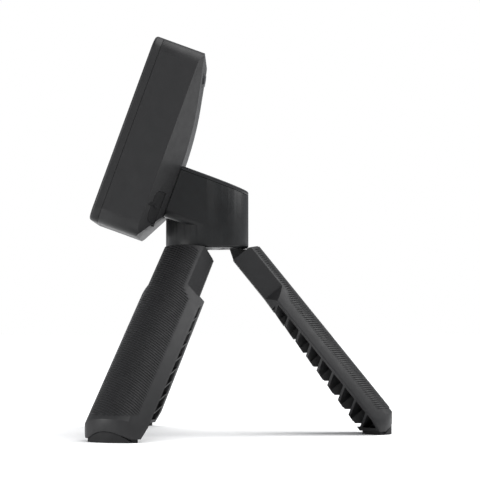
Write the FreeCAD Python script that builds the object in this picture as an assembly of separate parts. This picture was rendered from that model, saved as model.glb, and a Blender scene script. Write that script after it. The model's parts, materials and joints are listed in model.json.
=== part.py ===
"""Golf launch monitor on a three-legged stand: a leaning radar unit held on the stand's head.

Millimetres, +Z up. The origin is the point on the floor below the head's vertical axis.
The radar unit's front faces -Y. The legs are built closed, hanging straight down, then swung open.
"""

import FreeCAD, Part
import math
import os

Vector = FreeCAD.Vector
X_AXIS = Vector(1, 0, 0)
Y_AXIS = Vector(0, 1, 0)
Z_AXIS = Vector(0, 0, 1)

# ---------------------------------------------------------------- radar unit
unit_width = 71.0
unit_height = 90.8
unit_side_depth = 22.8        # flat depth of the four sides
unit_back_depth = 31.3        # depth at the flat seat on the back
unit_corner_radius = 7.0
unit_front_edge_radius = 1.4
unit_lean = 20.0              # degrees the front leans back
seam_depth = 4.2              # front face to the joint between the covers
seam_gap = 0.2
case_wall = 1.8
front_wall = 1.8
seat_bottom = 13.6            # flat seat on the back, from the unit's bottom edge
seat_top = 38.8
back_arc_radius = 160.0       # curve from the seat into the sloping upper back
back_slope = 11.5             # degrees, slope of the upper back
seat_half_width = 20.2

# ---------------------------------------------------------------- stand head
hub_radius = 19.6
hub_wall = 1.6
hub_bottom_edge_radius = 1.2
neck_axis_rise = 20.7         # base of the hub to where the neck's axis meets its own
neck_reach = 16.6             # hub axis to the neck's seat, along the neck
neck_corner_radius = 3.4
seat_wall = 2.0
seat_gap = 0.3                # radar unit to the neck's seat
cap_thickness = 1.7
cap_gap = 0.25
cap_edge_radius = 0.7
cap_skirt = 2.2
cap_skirt_wall = 1.2
cap_skirt_clearance = 0.15

# ---------------------------------------------------------------- legs
leg_open_angle = 39.0
leg_length = 109.2            # leg's top face to the sole line, along the leg
leg_foot_inset = 9.1          # outer wall to that sole line, on the closed leg
leg_top_gap = 1.4
leg_side_gap = 0.25           # from each side of a leg to the 120 degree line
leg_wall = 1.8
leg_block_width = 21.4
leg_block_length = 23.7
leg_ramp_slope = 0.7
leg_inner_top = 6.0           # inner edge's distance from the closed axis, at the block
leg_inner_foot = 2.4          # the same near the foot
leg_inner_foot_at = 92.0
leg_chamfer_inset = 4.2       # the top's outer bevel, from the outer wall
leg_chamfer_drop = 2.1
leg_toe_setback = 1.6         # square end of the outer wall, short of the sole line
web_thickness = 1.2
web_pitch = 8.25
web_first = 27.05
web_skew = 22.0               # degrees, the webs run like a steep screw thread
collar_height = 12.0          # the foot's upright front starts below this
collar_lip = 1.16             # front stands this far outside the leg's wall at that height
pocket_start = 29.4           # first open pocket, along the leg
sole_height = 1.6             # underside of the leg above the floor
sole_plate = 1.6
pad_inset = 1.0
pad_inner_cut = 1.6           # pad starts this far outside the sole's inner end
toe_half_width = 11.6         # domed toe of the pad, in the arch in the foot's front
toe_height = 4.8
toe_depth = 1.4               # along the foot
toe_sink = 0.2                # foot's front to the toe's face
arch_gap = 0.25
peg_radius = 1.2
peg_offset = 5.0
peg_inset = 4.5

# ---------------------------------------------------------------- leg hinges
hinge_inset = 4.4             # outer wall to the pin's axis
hinge_height = 5.4            # base of the hub to the pin's axis
pin_radius = 1.0
pin_half_length = 5.9
pin_clearance = 0.05
knuckle_radius = 1.9
tongue_half_width = 4.0
tongue_inner_radius = 6.2
ear_gap = 0.3
ear_thickness = 1.7
ear_radius = 2.2
washer_radius = 1.75
washer_play = 0.03
carrier_thickness = 3.0
carrier_clearance = 0.1
boss_ring_inset = 7.0
boss_radius = 2.7
boss_height = 6.0
screw_radius = 1.0
screw_head_radius = 1.9
screw_head_height = 1.3
screw_length = 6.5
screw_clearance = 0.05

# ---------------------------------------------------------------- magnetic coupling
spigot_radius = 6.0
spigot_height = 1.6
spigot_clearance = 0.2
magnet_radius = 3.2
magnet_thickness = 3.0
magnet_offset = 12.5
magnet_skin = 0.6
magnet_clearance = 0.1
holder_width = 33.0
holder_height = 11.0
holder_thickness = 1.5
keeper_inner = 8.0
keeper_outer = 16.6
keeper_half_height = 5.2
keeper_thickness = 1.2
insert_radius = 4.5
insert_bore_radius = 2.6
insert_length = 6.5

# ---------------------------------------------------------------- inside the unit
chassis_depth = 10.6          # front face to the chassis plate
chassis_thickness = 1.6
chassis_margin = 1.2
case_screw_offset = 16.4
case_screw_inset = 4.2        # from the seat's top and bottom edges
post_radius = 2.4
post_clearance = 0.1
corner_post_x = 28.0
corner_post_low = 8.0
corner_post_high = 81.0
board_thickness = 1.6
antenna_board_depth = 5.2
antenna_board_width = 48.0
antenna_board_height = 66.0
antenna_board_bottom = 12.0
patch_size = 7.0
patch_pitch = 12.4
patch_thickness = 0.2
patch_columns = 3
patch_rows = 4
shield_depth = 3.0
shield_width = 30.0
shield_height = 26.0
shield_wall = 0.4
main_board_gap = 0.6
main_board_width = 45.6
main_board_bottom = 40.0
main_board_top = 86.0
battery_width = 46.0
battery_height = 32.0
battery_thickness = 6.6
battery_bottom = 42.0
battery_foam = 0.8
seal_width = 0.9
seal_inset = 0.45

# ---------------------------------------------------------------- controls
button_height_on_unit = 81.8
button_width = 15.0
button_length = 5.6
button_proud = 1.1
button_travel = 0.8
button_gap = 0.25
button_flange = 1.0
switch_size = 4.6
light_offset = 13.2
light_radius = 1.1
port_centre = 16.0            # up the unit, on the right-hand bevel
port_cover_length = 15.0
port_cover_width = 8.0
port_cover_thickness = 1.5
port_cover_gap = 0.2
port_cover_corner = 3.4
port_plug_length = 7.2
port_plug_width = 3.0
port_plug_depth = 1.7
port_plug_gap = 0.7
port_backing = 1.7
port_body_depth = 7.2


# ================================================================ shape helpers
def box(x0, x1, y0, y1, z0, z1):
    return Part.makeBox(x1 - x0, y1 - y0, z1 - z0, Vector(x0, y0, z0))


def cylinder(radius, start, axis, length):
    return Part.makeCylinder(radius, length, start, axis)


def prism(points, travel):
    corners = [Vector(*p) for p in points]
    face = Part.Face(Part.makePolygon(corners + corners[:1]))
    return face.extrude(travel)


def side_prism(outline, half_width):
    """Extrude an outline given as (y, z) points across X."""
    points = [(-half_width, y, z) for y, z in outline]
    return prism(points, Vector(2 * half_width, 0, 0))


def joined(shapes):
    whole = shapes[0]
    for shape in shapes[1:]:
        whole = whole.fuse(shape)
    return whole.removeSplitter()


def without(shape, *tools):
    for tool in tools:
        shape = shape.cut(tool)
    return shape


def turned(shape, centre, axis, angle):
    copy = shape.copy()
    copy.rotate(centre, axis, angle)
    return copy


def pill(half_width, half_height, y0, y1, z_centre, x_centre=0.0):
    """A plate in the XZ plane with fully round ends, from y0 to y1."""
    straight = half_width - half_height
    core = box(x_centre - straight, x_centre + straight, y0, y1, z_centre - half_height, z_centre + half_height)
    ends = [
        cylinder(half_height, Vector(x_centre + s * straight, y0, z_centre), Y_AXIS, y1 - y0)
        for s in (-1, 1)
    ]
    return joined([core] + ends)


def rounded_lid(x0, x1, y0, y1, half_z, radius):
    """A plate in the XZ plane whose two corners on the far side are rounded."""
    lid = box(x0, x1, y0, y1, -half_z, half_z)
    far = [
        e for e in lid.Edges
        if abs(e.tangentAt(e.FirstParameter).y) > 0.99 and all(v.X > x1 - 1e-6 for v in e.Vertexes)
    ]
    return lid.makeFillet(radius, far)


def rounded_plate(width, height, radius, y0, y1, z0):
    """A rounded rectangle in the XZ plane, centred on X, standing on z0."""
    plate = box(-width / 2, width / 2, y0, y1, z0, z0 + height)
    corners = [e for e in plate.Edges if abs(e.tangentAt(e.FirstParameter).y) > 0.99]
    return plate.makeFillet(radius, corners)


# ================================================================ frames
hinge_radius = hub_radius - hinge_inset
boss_ring_radius = hub_radius - boss_ring_inset
leg_chamfer_start = hub_radius - leg_chamfer_inset
leg_foot_radius = hub_radius - leg_foot_inset
leg_end = leg_length - leg_toe_setback
web_count = int((leg_end - web_first) / web_pitch) + 1
lean = math.radians(unit_lean)
opening = math.radians(leg_open_angle)
sine = math.sin(opening)
cosine = math.cos(opening)

hinge_drop = hinge_height + leg_top_gap   # leg's top face to the pin's axis
hub_base = cosine * (leg_length + hinge_drop) - sine * (leg_foot_radius - hinge_radius) - hinge_height
leg_top = hub_base - leg_top_gap
hinge_z = hub_base + hinge_height
hinge_point = Vector(0, hinge_radius, hinge_z)
neck_axis_z = hub_base + neck_axis_rise
seat_middle = (seat_bottom + seat_top) / 2
seat_height = seat_top - seat_bottom


def placed(shape):
    """Move a shape from the unit's own upright frame (y = depth, z = up the unit) to its place."""
    copy = shape.copy()
    copy.translate(Vector(0, -(unit_back_depth + seat_gap + neck_reach), -seat_middle))
    copy.rotate(Vector(0, 0, 0), X_AXIS, -unit_lean)
    copy.translate(Vector(0, 0, neck_axis_z))
    return copy


def on_unit(x, depth, up):
    """The same move for one point."""
    y = depth - (unit_back_depth + seat_gap + neck_reach)
    z = up - seat_middle
    return Vector(
        x,
        y * math.cos(lean) + z * math.sin(lean),
        -y * math.sin(lean) + z * math.cos(lean) + neck_axis_z,
    )


def opened(shape):
    """Swing a closed rear leg out to its open stop."""
    return turned(shape, hinge_point, X_AXIS, leg_open_angle)


def leg_point(radius, along):
    """Place on an open rear leg of a point given on the closed one."""
    dy = radius - hinge_radius
    dz = -(along + hinge_drop)
    return Vector(0, hinge_radius + dy * cosine - dz * sine, hinge_z + dy * sine + dz * cosine)


leg_turns = {"rear": 0.0, "right": -120.0, "left": 120.0}


def around(shape, turn):
    return turned(shape, Vector(0, 0, 0), Z_AXIS, turn)


# ================================================================ radar unit's case
arc_height = back_arc_radius * math.sin(math.radians(back_slope))
arc_fall = back_arc_radius * (1 - math.cos(math.radians(back_slope)))


def back_outline():
    """Closed (depth, up) wire of the unit seen from the side, at its middle."""
    slope = math.tan(math.radians(back_slope))
    arc_end = (unit_back_depth - arc_fall, seat_top + arc_height)
    half = math.radians(back_slope / 2)
    arc_mid = (
        unit_back_depth - back_arc_radius * (1 - math.cos(half)),
        seat_top + back_arc_radius * math.sin(half),
    )
    top_depth = arc_end[0] - slope * (unit_height - arc_end[1])
    corners = [
        (unit_back_depth, seat_top),
        (unit_back_depth, seat_bottom),
        (unit_side_depth + 0.4, 0),
        (0, 0),
        (0, unit_height),
        (top_depth, unit_height),
        arc_end,
    ]
    points = [Vector(0, d, u) for d, u in corners]
    edges = [Part.makeLine(a, b) for a, b in zip(points, points[1:])]
    edges.append(Part.Arc(points[-1], Vector(0, *arc_mid), points[0]).toShape())
    return Part.Wire(edges)


def bevel_outline():
    """Closed (x, depth) wire of the unit seen from above."""
    half = unit_width / 2
    corners = [
        (-half, 0),
        (half, 0),
        (half, unit_side_depth),
        (seat_half_width, unit_back_depth),
        (-seat_half_width, unit_back_depth),
        (-half, unit_side_depth),
    ]
    points = [Vector(x, d, 0) for x, d in corners]
    return Part.makePolygon(points + points[:1])


def unit_solid(inset):
    """The case's outer shape, or the space inside it when inset is its wall."""
    side = Part.Face(back_outline())
    plan = Part.Face(bevel_outline())
    if inset:
        side = side.makeOffset2D(-inset)
        plan = plan.makeOffset2D(-inset)
    side.translate(Vector(-unit_width, 0, 0))
    solid = rounded_plate(
        unit_width - 2 * inset,
        unit_height - 2 * inset,
        unit_corner_radius - inset,
        inset,
        unit_back_depth + 1,
        inset,
    )
    solid = solid.common(side.extrude(Vector(2 * unit_width, 0, 0)))
    solid = solid.common(plan.extrude(Vector(0, 0, unit_height)))
    return solid.removeSplitter()


def soft_unit_solid():
    solid = unit_solid(0.0)
    front = [e for e in solid.Edges if all(abs(v.Y) < 1e-6 for v in e.Vertexes)]
    return solid.makeFillet(unit_front_edge_radius, front)


def back_depth_at(up):
    """Depth of the back's middle on its straight upper slope."""
    slope = math.tan(math.radians(back_slope))
    return unit_back_depth - arc_fall - slope * (up - seat_top - arc_height)


def on_slope(shape):
    """Tilt a shape made square to depth so that it stands square to the sloping upper back."""
    pivot = Vector(0, back_depth_at(button_height_on_unit), button_height_on_unit)
    return turned(shape, pivot, X_AXIS, back_slope)


bevel_run = unit_width / 2 - seat_half_width
bevel_rise = unit_back_depth - unit_side_depth
bevel_angle = math.degrees(math.atan2(bevel_rise, bevel_run))
bevel_middle = Vector(unit_width / 2 - bevel_run / 2, unit_side_depth + bevel_rise / 2, port_centre)


def on_bevel(shape):
    """Move a shape made with its outer face on y = 0, centred on x = z = 0, onto the right-hand bevel."""
    copy = turned(shape, Vector(0, 0, 0), Z_AXIS, -bevel_angle)
    copy.translate(bevel_middle)
    return copy


# ================================================================ covers
shell = soft_unit_solid().cut(unit_solid(case_wall))
front_zone = box(-60, 60, -1, seam_depth - seam_gap / 2, -5, unit_height + 5)
rear_zone = box(-60, 60, seam_depth + seam_gap / 2, 60, -5, unit_height + 5)


def edge_ring(inset, width, y0, y1):
    outer = rounded_plate(
        unit_width - 2 * inset, unit_height - 2 * inset, unit_corner_radius - inset, y0, y1, inset
    )
    edge = inset + width
    inner = rounded_plate(
        unit_width - 2 * edge, unit_height - 2 * edge, unit_corner_radius - edge, y0 - 1, y1 + 1, edge
    )
    return outer.cut(inner)


seal_half = seam_gap / 2 + 0.5
case_seal = edge_ring(seal_inset, seal_width, seam_depth - seal_half, seam_depth + seal_half)
seal_groove = edge_ring(
    seal_inset - 0.05, seal_width + 0.1, seam_depth - seal_half - 0.05, seam_depth + seal_half + 0.05
)

corner_posts = [(sx * corner_post_x, up) for sx in (-1, 1) for up in (corner_post_low, corner_post_high)]
seat_screws = [
    (sx * case_screw_offset, up)
    for sx in (-1, 1)
    for up in (seat_bottom + case_screw_inset, seat_top - case_screw_inset)
]


def post(radius, x, up, y0, y1):
    return cylinder(radius, Vector(x, y0, up), Y_AXIS, y1 - y0)


def screw(x, up, head_y, length, way):
    """A pan-head screw along depth; way is +1 when its shank points to the back."""
    if way > 0:
        head = post(screw_head_radius, x, up, head_y, head_y + screw_head_height)
        shank = post(screw_radius, x, up, head_y + screw_head_height - 0.1, head_y + screw_head_height + length)
        slot = box(x - 1.3, x + 1.3, head_y - 1, head_y + 0.5, up - 0.2, up + 0.2)
    else:
        head = post(screw_head_radius, x, up, head_y - screw_head_height, head_y)
        shank = post(screw_radius, x, up, head_y - screw_head_height - length, head_y - screw_head_height + 0.1)
        slot = box(x - 1.3, x + 1.3, head_y - 0.5, head_y + 1, up - 0.2, up + 0.2)
    return joined([head, shank]).cut(slot)


# front cover, with the four posts the chassis screws to
front_cover = shell.common(front_zone).cut(seal_groove)
front_cover = joined(
    [front_cover] + [post(post_radius, x, up, front_wall - 0.2, chassis_depth - 0.1) for x, up in corner_posts]
)
for x, up in corner_posts:
    front_cover = front_cover.cut(post(screw_radius + screw_clearance, x, up, chassis_depth - 6.6, chassis_depth))

# rear cover
rear_cover = shell.common(rear_zone).cut(seal_groove)
inner_seat = unit_back_depth - case_wall
recess_depth = spigot_height + seat_gap
boss_outer = spigot_radius + spigot_clearance + 1.4
boss_depth = recess_depth + insert_length + 1.4
rear_cover = joined(
    [rear_cover, post(boss_outer, 0, seat_middle, unit_back_depth - boss_depth, inner_seat + 0.2)]
    + [post(3.2, x, up, inner_seat - 2.0, inner_seat + 0.2) for x, up in seat_screws]
)
rear_cover = without(
    rear_cover,
    post(spigot_radius + spigot_clearance, 0, seat_middle, unit_back_depth - recess_depth, unit_back_depth + 1),
    post(insert_radius + 0.02, 0, seat_middle,
         unit_back_depth - recess_depth - insert_length - 0.1, unit_back_depth),
)
for x, up in seat_screws:
    rear_cover = without(
        rear_cover,
        post(screw_head_radius + 0.2, x, up, unit_back_depth - screw_head_height - 0.1, unit_back_depth + 1),
        post(screw_radius + 0.15, x, up, inner_seat - 3.0, unit_back_depth),
    )

# threaded bush for an ordinary tripod screw, in the middle of the seat
insert_back = unit_back_depth - recess_depth - 0.05
tripod_insert = without(
    post(insert_radius, 0, seat_middle, insert_back - insert_length, insert_back),
    post(insert_bore_radius, 0, seat_middle, insert_back - insert_length + 0.8, insert_back + 1),
)

# button hole, light pipe hole
button_depth = back_depth_at(button_height_on_unit)
button_floor = button_depth - case_wall - 0.35
button_hole = on_slope(
    pill(button_width / 2 + button_gap, button_length / 2 + button_gap,
         button_depth - 4, button_depth + 2, button_height_on_unit)
)
light_hole = on_slope(
    post(light_radius + 0.1, light_offset, button_height_on_unit, button_depth - 4, button_depth + 2)
)
rear_cover = without(rear_cover, button_hole, light_hole)

# charging port on the right-hand bevel
cover_half_x = port_cover_width / 2
cover_half_z = port_cover_length / 2
recess_x = cover_half_x + port_cover_gap
recess_z = cover_half_z + port_cover_gap
recess_floor = -(port_cover_thickness + port_cover_gap)
backing_floor = recess_floor - port_backing
backing = on_bevel(box(-recess_x - 1.3, recess_x + 1.3, backing_floor, -1.0, -recess_z - 1.3, recess_z + 1.3))
hole_x = port_plug_width / 2 + port_plug_gap
hole_z = port_plug_length / 2 + port_plug_gap
rear_cover = without(
    joined([rear_cover, backing]),
    on_bevel(rounded_lid(-recess_x, recess_x, recess_floor, 3, recess_z, port_cover_corner + port_cover_gap)),
    on_bevel(box(-hole_x, hole_x, backing_floor - 1, 0, -hole_z, hole_z)),
)

flap_radius = port_cover_thickness / 2
flap_axis_x = -cover_half_x + flap_radius
flap = joined([
    rounded_lid(flap_axis_x, cover_half_x, -port_cover_thickness, 0, cover_half_z, port_cover_corner),
    cylinder(flap_radius, Vector(flap_axis_x, -flap_radius, -cover_half_z), Z_AXIS, port_cover_length),
    box(-port_plug_width / 2, port_plug_width / 2, -port_cover_thickness - port_plug_depth,
        -port_cover_thickness + 0.2, -port_plug_length / 2, port_plug_length / 2),
])
usb_cover = on_bevel(flap)

connector_face = backing_floor - 0.2
connector = without(
    box(-1.65, 1.65, connector_face - port_body_depth, connector_face, -4.5, 4.5),
    box(-1.3, 1.3, connector_face - 5.5, connector_face + 1, -4.15, 4.15),
)
connector = joined([connector, box(-0.35, 0.35, connector_face - 6, connector_face - 0.6, -3.3, 3.3)])
usb_connector = on_bevel(connector)

# ================================================================ inside the unit
chassis_back = chassis_depth + chassis_thickness
margin = case_wall + chassis_margin
chassis = rounded_plate(
    unit_width - 2 * margin, unit_height - 2 * margin, unit_corner_radius - margin,
    chassis_depth, chassis_back, margin,
)
post_end = inner_seat - 2.0 - post_clearance
rail_in = battery_width / 2 + 0.4
antenna_back = antenna_board_depth + board_thickness
antenna_screws = [(sx * 21.0, up) for sx in (-1, 1) for up in (16.0, 74.0)]
board_screws_at = [(sx * 19.5, up) for sx in (-1, 1) for up in (41.6, 84.0)]
battery_back = 25.2
battery_front = battery_back - battery_thickness
chassis = joined(
    [chassis]
    + [post(post_radius, x, up, chassis_back - 0.2, post_end) for x, up in seat_screws]
    + [post(2.0, x, up, antenna_back + 0.1, chassis_depth + 0.2) for x, up in antenna_screws]
    + [post(2.0, x, up, chassis_back - 0.2, chassis_back + main_board_gap - 0.05) for x, up in board_screws_at]
    + [
        box(min(s * rail_in, s * (rail_in + 1.2)), max(s * rail_in, s * (rail_in + 1.2)),
            chassis_back - 0.2, battery_back - 1.2, battery_bottom + 2, battery_bottom + battery_height - 2)
        for s in (-1, 1)
    ]
)
bracket = on_bevel(box(-3.0, 3.0, -17.5, connector_face - port_body_depth - 0.1, -5.0, 5.0))
chassis = joined([chassis, bracket.common(box(0, 60, chassis_depth + 0.4, 60, 0, 60))])
for x, up in seat_screws:
    chassis = chassis.cut(post(screw_radius + screw_clearance, x, up, post_end - 6.0, post_end + 1))
for x, up in corner_posts:
    chassis = chassis.cut(post(screw_radius + 0.15, x, up, chassis_depth - 1, chassis_back + 1))
for x, up in antenna_screws:
    chassis = chassis.cut(post(screw_radius + screw_clearance, x, up, antenna_back, chassis_back + 1))
for x, up in board_screws_at:
    chassis = chassis.cut(post(screw_radius + screw_clearance, x, up, chassis_depth - 1, chassis_back + 2))
inner_frame = chassis

antenna_board = box(
    -antenna_board_width / 2, antenna_board_width / 2, antenna_board_depth, antenna_back,
    antenna_board_bottom, antenna_board_bottom + antenna_board_height,
)
for x, up in antenna_screws:
    antenna_board = antenna_board.cut(post(screw_radius + 0.15, x, up, 0, chassis_depth))

patches = []
antenna_middle = antenna_board_bottom + antenna_board_height / 2
for column in range(patch_columns):
    for row in range(patch_rows):
        px = (column - (patch_columns - 1) / 2) * patch_pitch
        pz = antenna_middle + (row - (patch_rows - 1) / 2) * patch_pitch
        patches.append(
            box(px - patch_size / 2, px + patch_size / 2,
                antenna_board_depth - 0.02 - patch_thickness, antenna_board_depth - 0.02,
                pz - patch_size / 2, pz + patch_size / 2)
        )
antenna_patches = Part.makeCompound(patches)

shield_front = antenna_back + 0.1
radar_shield = without(
    box(-shield_width / 2, shield_width / 2, shield_front, shield_front + shield_depth,
        antenna_middle - shield_height / 2, antenna_middle + shield_height / 2),
    box(-shield_width / 2 + shield_wall, shield_width / 2 - shield_wall, shield_front - 1,
        shield_front + shield_depth - shield_wall,
        antenna_middle - shield_height / 2 + shield_wall, antenna_middle + shield_height / 2 - shield_wall),
)

main_front = chassis_back + main_board_gap
main_back = main_front + board_thickness
main_board = box(
    -main_board_width / 2, main_board_width / 2, main_front, main_back, main_board_bottom, main_board_top
)
for x, up in board_screws_at:
    main_board = main_board.cut(post(screw_radius + 0.15, x, up, main_front - 1, main_back + 1))

chip_boxes = [
    (-6.0, 6.0, 48.0, 60.0, 1.2),
    (-18.0, -10.0, 50.0, 60.0, 1.0),
    (10.0, 17.0, 46.0, 53.0, 1.0),
    (9.0, 18.0, 58.0, 70.0, 1.6),
    (-17.0, -9.0, 66.0, 72.0, 0.9),
]
board_chips = Part.makeCompound(
    [box(x0, x1, main_back + 0.02, main_back + 0.02 + h, z0, z1) for x0, x1, z0, z1, h in chip_boxes]
)

battery = box(
    -battery_width / 2, battery_width / 2, battery_front, battery_back,
    battery_bottom, battery_bottom + battery_height,
)
battery_cells = [e for e in battery.Edges if abs(e.tangentAt(e.FirstParameter).z) > 0.99]
battery = battery.makeFillet(2.0, battery_cells)
battery_pad = box(
    -battery_width / 2 + 3, battery_width / 2 - 3, battery_front - battery_foam - 0.05, battery_front - 0.05,
    battery_bottom + 3, battery_bottom + battery_height - 3,
)

case_screws = Part.makeCompound(
    [screw(x, up, unit_back_depth - 0.1, screw_length, -1) for x, up in seat_screws]
)
board_screws = Part.makeCompound(
    [screw(x, up, chassis_back + 0.05 + screw_head_height, screw_length, -1) for x, up in corner_posts]
    + [screw(x, up, antenna_board_depth - 0.05 - screw_head_height, 4.4, 1) for x, up in antenna_screws]
    + [screw(x, up, main_back + 0.05 + screw_head_height, 3.0, -1) for x, up in board_screws_at]
)

keepers = []
for s in (-1, 1):
    x0, x1 = sorted((s * keeper_inner, s * keeper_outer))
    keepers.append(
        box(x0, x1, inner_seat - 0.1 - keeper_thickness, inner_seat - 0.1,
            seat_middle - keeper_half_height, seat_middle + keeper_half_height)
    )
catch_plates = Part.makeCompound(keepers)

# power button: cap, flange behind the cover, plunger to the switch
button = joined([
    pill(button_width / 2, button_length / 2, button_floor - 0.1, button_depth + button_proud,
         button_height_on_unit),
    pill(button_width / 2 + button_flange, button_length / 2 + button_flange, button_floor - 1.0,
         button_floor, button_height_on_unit),
    post(1.2, 0, button_height_on_unit, button_floor - 4.2, button_floor - 0.5),
])
top_ring = [e for e in button.Edges if all(v.Y > button_depth + button_proud - 1e-3 for v in e.Vertexes)]
power_button = on_slope(button.makeFillet(0.4, top_ring))
switch_up = button_height_on_unit - (button_depth - main_back - 3.0) * math.tan(math.radians(back_slope))
switch_tip = button_depth - (button_depth - button_floor + 4.2) * math.cos(math.radians(back_slope))
switch_top = switch_tip - button_travel - 0.25
button_switch = joined([
    box(-switch_size / 2, switch_size / 2, main_back + 0.02, switch_top - 0.7,
        switch_up - switch_size / 2, switch_up + switch_size / 2),
    post(1.5, 0, switch_up, switch_top - 0.8, switch_top),
])
status_light_pipe = on_slope(
    post(light_radius, light_offset, button_height_on_unit, button_depth - 8.6, button_depth)
)


# ================================================================ stand head
def on_neck(shape):
    copy = turned(shape, Vector(0, 0, 0), X_AXIS, -unit_lean)
    copy.translate(Vector(0, 0, neck_axis_z))
    return copy


half_seat = seat_height / 2


def head_solid(inset, seat_inset, base, top):
    """The head's outline: an upright cylinder and the straight-sided neck, under a sloping top."""
    radius = hub_radius - inset
    body = cylinder(radius, Vector(0, 0, base), Z_AXIS, 70)
    neck = box(-radius, radius, -neck_reach - 1, 14, -half_seat + inset, half_seat + 4)
    low = [
        e for e in neck.Edges
        if abs(e.tangentAt(e.FirstParameter).y) > 0.99 and all(v.Z < 0 for v in e.Vertexes)
    ]
    neck = neck.makeFillet(neck_corner_radius - inset, low)
    neck = on_neck(neck).common(box(-60, 60, -60, 0, 0, 260))
    whole = joined([body, neck])
    return whole.common(on_neck(box(-60, 60, -neck_reach + seat_inset, 60, -90, top)))


def slab(x0, x1, y0, y1, z0, z1):
    return on_neck(box(x0, x1, y0, y1, z0, z1))


outer_head = head_solid(0.0, 0.0, hub_base, half_seat)
base_edge = [
    e for e in outer_head.Edges
    if all(abs(v.Z - hub_base) < 1e-5 for v in e.Vertexes) and hasattr(e.Curve, "Radius")
]
outer_head = outer_head.makeFillet(hub_bottom_edge_radius, base_edge)
cap_base = half_seat - cap_thickness
hub_shell = outer_head.common(slab(-60, 60, -60, 60, -90, cap_base - cap_gap))
hub_shell = hub_shell.cut(head_solid(hub_wall, seat_wall, hub_base - 1, half_seat + 3))

boss_base = hub_base + carrier_thickness + carrier_clearance
for turn in (60, 180, 300):
    column = joined([
        cylinder(boss_radius, Vector(0, boss_ring_radius, boss_base), Z_AXIS, boss_height),
        box(-1.2, 1.2, boss_ring_radius, hub_radius - hub_wall / 2, boss_base, boss_base + boss_height),
    ])
    column = column.cut(
        cylinder(screw_radius + screw_clearance, Vector(0, boss_ring_radius, boss_base - 1), Z_AXIS, 7.2)
    )
    hub_shell = hub_shell.fuse(around(column, turn))
hub_shell = hub_shell.removeSplitter()

# spigot on the seat, magnet pockets behind it
spigot = on_neck(cylinder(spigot_radius, Vector(0, -neck_reach - spigot_height, 0), Y_AXIS, spigot_height + 1))
magnet_face = -neck_reach + magnet_skin
holder_face = magnet_face + magnet_thickness + 0.1
hub_shell = joined([
    hub_shell, spigot,
    on_neck(cylinder(2.4, Vector(0, -neck_reach + seat_wall - 0.2, 0), Y_AXIS,
                     holder_face - 0.1 + neck_reach - seat_wall + 0.2)),
])
magnet_places = [s * magnet_offset for s in (-1, 1)]
magnets = []
for x in magnet_places:
    hub_shell = hub_shell.cut(
        on_neck(cylinder(magnet_radius + magnet_clearance, Vector(x, magnet_face - 0.05, 0), Y_AXIS, 3))
    )
    magnets.append(on_neck(cylinder(magnet_radius, Vector(x, magnet_face, 0), Y_AXIS, magnet_thickness)))
mount_magnets = Part.makeCompound(magnets)
hub_shell = hub_shell.cut(
    on_neck(cylinder(screw_radius + screw_clearance, Vector(0, -neck_reach - 0.6, 0), Y_AXIS, 8))
)
magnet_holder = slab(
    -holder_width / 2, holder_width / 2, holder_face, holder_face + holder_thickness,
    -holder_height / 2, holder_height / 2,
)
magnet_holder = magnet_holder.cut(
    on_neck(cylinder(screw_radius + 0.15, Vector(0, -neck_reach, 0), Y_AXIS, 12))
)

# cap with its skirt
hub_cap = outer_head.common(slab(-60, 60, -60, 60, cap_base, half_seat + 1))
cap_rim = [
    e for e in hub_cap.Edges
    if all(
        abs(-v.Y * math.sin(-lean) + (v.Z - neck_axis_z) * math.cos(lean) - half_seat) < 1e-4
        for v in e.Vertexes
    )
]
hub_cap = hub_cap.makeFillet(cap_edge_radius, cap_rim)
skirt_wall = hub_wall + cap_skirt_clearance
skirt = head_solid(skirt_wall, seat_wall + cap_skirt_clearance, hub_base, half_seat - 0.5).cut(
    head_solid(skirt_wall + cap_skirt_wall, seat_wall + cap_skirt_clearance + cap_skirt_wall,
               hub_base - 1, half_seat + 1)
)
skirt = skirt.common(slab(-60, 60, -60, 60, cap_base - cap_skirt, cap_base + 0.3))
hub_cap = joined([hub_cap, skirt])

# ================================================================ leg carrier, pins, screws
carrier_radius = hub_radius - hub_wall - carrier_clearance
leg_carrier = cylinder(carrier_radius, Vector(0, 0, hub_base), Z_AXIS, carrier_thickness)
ear_in = tongue_half_width + ear_gap
ear_out = ear_in + ear_thickness
for name, turn in leg_turns.items():
    slot = box(-ear_in, ear_in, tongue_inner_radius + 0.2, 40, hub_base - 1, hub_base + 20)
    leg_carrier = leg_carrier.cut(around(slot, turn))
inside_head = cylinder(carrier_radius, Vector(0, 0, hub_base), Z_AXIS, 30)
for name, turn in leg_turns.items():
    for s in (-1, 1):
        x0, x1 = sorted((s * ear_in, s * ear_out))
        ear = joined([
            box(x0, x1, hinge_radius - ear_radius, carrier_radius, hub_base + 1, hinge_z),
            cylinder(ear_radius, Vector(x0, hinge_radius, hinge_z), X_AXIS, x1 - x0),
        ])
        ring_x = min(s * (tongue_half_width + washer_play), s * (ear_in + 0.1))
        ring = cylinder(washer_radius, Vector(ring_x, hinge_radius, hinge_z), X_AXIS,
                        ear_gap - washer_play + 0.1)
        ear = joined([ear, ring]).common(inside_head)
        leg_carrier = leg_carrier.fuse(around(ear, turn))
leg_carrier = leg_carrier.removeSplitter()
pins = []
for name, turn in leg_turns.items():
    hole = cylinder(pin_radius + 0.01, Vector(-20, hinge_radius, hinge_z), X_AXIS, 40)
    leg_carrier = leg_carrier.cut(around(hole, turn))
    pin = cylinder(pin_radius, Vector(-pin_half_length, hinge_radius, hinge_z), X_AXIS, 2 * pin_half_length)
    pins.append(around(pin, turn))
hinge_pins = Part.makeCompound(pins)


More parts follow.
